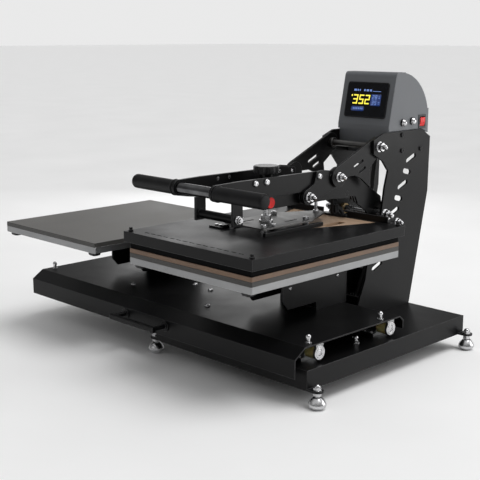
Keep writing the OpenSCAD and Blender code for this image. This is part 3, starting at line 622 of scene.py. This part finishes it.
def thread(centre, z0, z1, radius, pitch, count=24):
    """A stud with a single-start thread, as one skin whose radius follows the helix."""
    rows = max(2, round((z1 - z0) / pitch * 6))
    rings = []
    for k in range(rows + 1):
        z = z0 + (z1 - z0) * k / rows
        ring = []
        for i in range(count):
            phase = (z / pitch - i / count) % 1
            r = radius - 0.35 * pitch * abs(2 * phase - 1)
            if k in (0, rows):
                r = radius - 0.5 * pitch
            angle = 2 * math.pi * i / count
            ring.append(Vector(centre) + Vector((math.cos(angle) * r, math.sin(angle) * r, z)) * MM)
        rings.append(ring)
    return rings_mesh(rings)


LEAD_ROUTE = [(0, 660, 482), (0, 660, 460), (2, 652, 430), (4, 644, 390), (2, 633, 364), (0, 624, 345),
              (0, 623, 320), (0, 628, 250), (0, 631, 188), (0, 624, 162), (0, 612, 141), (0, 603, 120),
              (0, 592, 105), (0, 575, 98), (0, 562, 106), (0, 553, 120), (0, 549, 140), (0, 546, 170)]
FLEX_ROUTE = [(0, 549, 140), (0, 546, 170), (0, 545, 210), (0, 541, 260), (0, 536, 318), (0, 532, 336),
              (0, 529, 344), (0, 523, 352), (0, 516, 357), (0, 510, 358), (0, 505.4, 358)]


def make_lead():
    """The heater's lead: from the control box round a loop over the base, and up to the head's clamp."""
    fixed = smooth_path([at(*p) for p in LEAD_ROUTE])
    points, faces = rings_mesh(tube(fixed, LEAD_RADIUS * MM))
    piece = new_piece("lead_fixed", points, faces, "lead", "root", 60)
    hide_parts("tower_lead")
    sleeve = [(0, 5.8), (0, 8.6), (0.8, 9.4), (3, 9.4), (3.6, 8.2), (8, 7.4), (16, 7), (22, 6.8), (22.6, 6)]
    points, faces = rings_mesh(turned(at(0, 660, 486), (0, 0, -1), sleeve, 40))
    new_piece("lead_grommet", points, faces, "black_plastic", "root", 40)
    flexing = smooth_path([at(*p) for p in FLEX_ROUTE])
    points, faces = rings_mesh(tube(flexing, LEAD_RADIUS * MM))
    piece = new_piece("lead_flexing", points, faces, "lead", None, 60)
    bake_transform(piece)
    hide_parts("arm_lead")


def button_head(place, axis, radius, height):
    """A button-head screw with a hexagon socket, drawn over a plain head of the given size."""
    big = radius + 0.9
    profile = [(0, big), (height * 0.55, big), (height * 0.85, radius + 0.6), (height + 0.3, radius - 0.1),
               (height + 0.9, radius * 0.8), (height + 1.3, radius * 0.62), (height + 1.3, radius * 0.55),
               (height + 0.12, radius * 0.52), (height + 0.12, 0.05)]
    return rings_mesh(turned(place, axis, profile, 36,
                             lambda angle, k: hex_shape(angle, k) if k in (6, 7) else 1))


def make_screws():
    """Socket screws: on the handle bars, lever plates, control box's sides, sled and pedestals."""
    def heads(name, body, slot, places):
        points, faces = join_meshes([button_head(at(*p), axis, r, h) for p, axis, r, h in places])
        new_piece(name, points, faces, slot, body, 35)

    heads("bar_screws", "lever", "chrome",
          [((s * BAR_FACE, y, z), (s, 0, 0), 6.5, 4) for s in SIDES for y, z in BAR_SCREWS]
          + [((s * LEVER_FACE, *LEVER_SCREW), (s, 0, 0), 6.5, 4.5) for s in SIDES])
    heads("box_side_screws", "root", "black_plastic",
          [((s * TOWER_FACE, y, z), (s, 0, 0), 5.5, 3) for s in SIDES for y, z in BOX_SCREWS])
    heads("sled_screws", "sled", "chrome", [((x, y, SLED_TOP), (0, 0, 1), 6, 3) for x, y in SLED_SCREWS])
    heads("pedestal_screws", "sled", "chrome",
          [((bed + s * PEDESTAL_FACE, y, z), (s, 0, 0), 3.6, 1.5)
           for bed in BEDS for s in SIDES for y, z in PEDESTAL_SCREWS])


def make_end_caps():
    """Turned faces of the sled's end discs, with a groove and a countersunk socket screw."""
    parts = []
    sled_middle = at(sum(BEDS) / 2, 0, 0).x
    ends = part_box("end_discs")
    for low, high in solids("end_bumpers"):
        outward = 1 if low.x > sled_middle else -1
        end = ends[1].x if outward > 0 else ends[0].x
        centre = Vector((end, (low.y + high.y) / 2, (low.z + high.z) / 2))
        r = (high.z - low.z) / 2 / MM + 0.3
        profile = [(-0.5, r), (0.3, r), (0.8, r - 0.6), (0.8, r - 3.2), (0.3, r - 3.7), (0.3, r - 4.3),
                   (0.8, r - 4.8), (0.8, 8.4), (-0.3, 7.2), (-0.1, 6.9), (-0.1, 3.6), (-0.9, 3.4),
                   (-0.9, 0.05)]
        parts.append(rings_mesh(turned(centre, (outward, 0, 0), profile, 60,
                                       lambda angle, k: hex_shape(angle, k) if k in (10, 11) else 1)))
    points, faces = join_meshes(parts)
    new_piece("end_disc_faces", points, faces, "chrome", "sled", 35)


def make_fuse_caps():
    """Polished domes on the fuse holders, each on a short straight collar."""
    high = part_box("fuse_holders")[1]
    parts = []
    for y, z in FUSES:
        profile = [(0, 8.9), (0.8, 8.9), (1.2, 8.4), (2.2, 8.1), (4.2, 7.1), (6, 5.6), (7.4, 3.6), (8.1, 1.6),
                   (8.3, 0.05)]
        centre = at(0, y, z)
        centre.x = high.x - FUSE_DOME * MM
        parts.append(rings_mesh(turned(centre, (1, 0, 0), profile, 48)))
    points, faces = join_meshes(parts)
    new_piece("fuse_caps", points, faces, "chrome", "root", 35)


def make_platen_tabs():
    """Rounded black supports under the front corners of both lower platens."""
    parts = []
    for bed in BEDS:
        for side in SIDES:
            rings = []
            for z, inset in ((264, 0), (262.5, 0), (258, 0.4), (256.2, 1.6), (255.2, 3.4), (255, 6)):
                ring = []
                for i in range(48):
                    angle = 2 * math.pi * i / 48
                    x = math.copysign(abs(math.cos(angle)) ** 0.5, math.cos(angle)) * (TAB_HALF[0] - inset)
                    y = math.copysign(abs(math.sin(angle)) ** 0.5, math.sin(angle)) * (TAB_HALF[1] - inset)
                    ring.append(at(bed + side * TAB_PLACE[0] + x, TAB_PLACE[1] + y, z))
                rings.append(ring)
            parts.append(rings_mesh(rings))
    points, faces = join_meshes(parts)
    new_piece("platen_tabs", points, faces, "black_plastic", "sled", 40)


SEGMENTS = {"0": "abcdef", "2": "abged", "3": "abgcd", "5": "afgcd", "8": "abcdefg"}


class Screen:
    """Draws lit shapes on the display's face, in millimetres from the glass's middle."""

    def __init__(self):
        mesh = frame["nodes"]["display_glass"].data
        front = min(mesh.polygons, key=lambda p: (round(p.normal.y, 3), -p.area))
        self.normal = Vector(front.normal)
        self.up = Vector((0, -self.normal.z, self.normal.y)) * (-1 if self.normal.y > 0 else 1)
        if self.up.z < 0:
            self.up.negate()
        face = [mesh.vertices[i].co for p in mesh.polygons if p.normal.dot(self.normal) > 0.999
                for i in p.vertices]
        along = [v.dot(self.up) for v in face]
        middle = Vector((PRESS_X, face[0].y, face[0].z))
        self.centre = middle + self.up * ((min(along) + max(along)) / 2 - middle.dot(self.up))

    def bar(self, corners):
        """A lit patch with the given corners (x, up), 0.15 mm thick."""
        base = [self.centre + Vector((1, 0, 0)) * x * MM + self.up * s * MM for x, s in corners]
        low = [p + self.normal * 0.02 * MM for p in base]
        top = [p + self.normal * 0.17 * MM for p in base]
        count = len(corners)
        faces = [tuple(range(count, 2 * count)), tuple(range(count - 1, -1, -1))]
        faces += [(i, (i + 1) % count, (i + 1) % count + count, i + count) for i in range(count)]
        return low + top, faces

    def patch(self, x, s, width, height, cut=0.0, lean=0.0):
        outline = [(x + cut, s), (x + width - cut, s), (x + width, s + cut), (x + width, s + height - cut),
                   (x + width - cut, s + height), (x + cut, s + height), (x, s + height - cut), (x, s + cut)]
        if not cut:
            outline = [(x, s), (x + width, s), (x + width, s + height), (x, s + height)]
        return self.bar([(px + (ps - s) * lean, ps) for px, ps in outline])

    def digit(self, text, x, s, width, height, thick, lean=0.08):
        """A seven-segment numeral with its lower left corner at (x, s)."""
        mid = height / 2
        gap = thick * 0.12
        places = {"a": (0, height - thick, width, thick), "g": (0, mid - thick / 2, width, thick),
                  "d": (0, 0, width, thick), "f": (0, mid + gap, thick, mid - gap),
                  "e": (0, gap, thick, mid - 2 * gap), "b": (width - thick, mid + gap, thick, mid - gap),
                  "c": (width - thick, gap, thick, mid - 2 * gap)}
        found = []
        for segment in SEGMENTS[text]:
            px, ps, w, h = places[segment]
            outline = [(px, ps), (px + w, ps), (px + w, ps + h), (px, ps + h)]
            found.append(self.bar([(x + ox + os * lean, s + os) for ox, os in outline]))
        return found


def lit_piece(name, parts, material):
    points, faces = join_meshes(parts)
    piece = new_piece(name, points, faces, None, "root", 0)
    piece.data.materials.append(material)


def make_display():
    screen = Screen()
    yellow = lit_segment("lit_yellow", (1.0, 0.86, 0.08), 1.3)
    blue = lit_segment("lit_blue", (0.013, 0.032, 0.14), 1.0)
    pale = lit_segment("lit_pale", (0.16, 0.26, 0.6), 1.0)
    parts = []
    for index, text in enumerate("352"):
        parts += screen.digit(text, -44 + 19 * index, -11, 14.5, 24, 3.2)
    parts.append(screen.patch(-50, 8, 4, 5, 1.2))
    lit_piece("display_reading", parts, yellow)
    lit_piece("display_panels", [screen.patch(13, -14, 32, 29, 2), screen.patch(-46, -29, 42, 12, 3)], blue)
    small = []
    for row, text in ((2.5, "28"), (-11.5, "35")):
        for index, numeral in enumerate(text):
            small += screen.digit(numeral, 17 + 9 * index, row, 6, 10.5, 1.5)
        small.append(screen.patch(37, row + 2, 5, 1.6))
        small.append(screen.patch(37, row + 6, 5, 1.6))
    for x, width in ((-44, 9), (-33, 4), (-26, 3), (-12, 5), (-4, 8), (7, 6), (16, 26)):
        small.append(screen.patch(x, 22, width, 5 if width < 10 else 1.2, 0.5))
    for index in range(6):
        small.append(screen.patch(-40 + 5.6 * index, -25, 3.4, 4.5, 0.6))
    lifted = [([p + screen.normal * 0.12 * MM for p in points], faces) for points, faces in small]
    lit_piece("display_figures", lifted, pale)


def make_floor():
    half = FLOOR_HALF
    corners = [(-half, -half, 0), (half, -half, 0), (half, half, 0), (-half, half, 0)]
    mesh = bpy.data.meshes.new("floor")
    mesh.from_pydata(corners, [], [(0, 1, 2, 3)])
    floor = bpy.data.objects.new("floor", mesh)
    floor.data.materials.append(pale_floor("pale_floor"))
    bpy.context.scene.collection.objects.link(floor)


make_camera()
make_light()
make_floor()
dress_cad()
make_grips()
make_feet()
make_lead()
make_screws()
make_end_caps()
make_fuse_caps()
make_platen_tabs()
make_display()
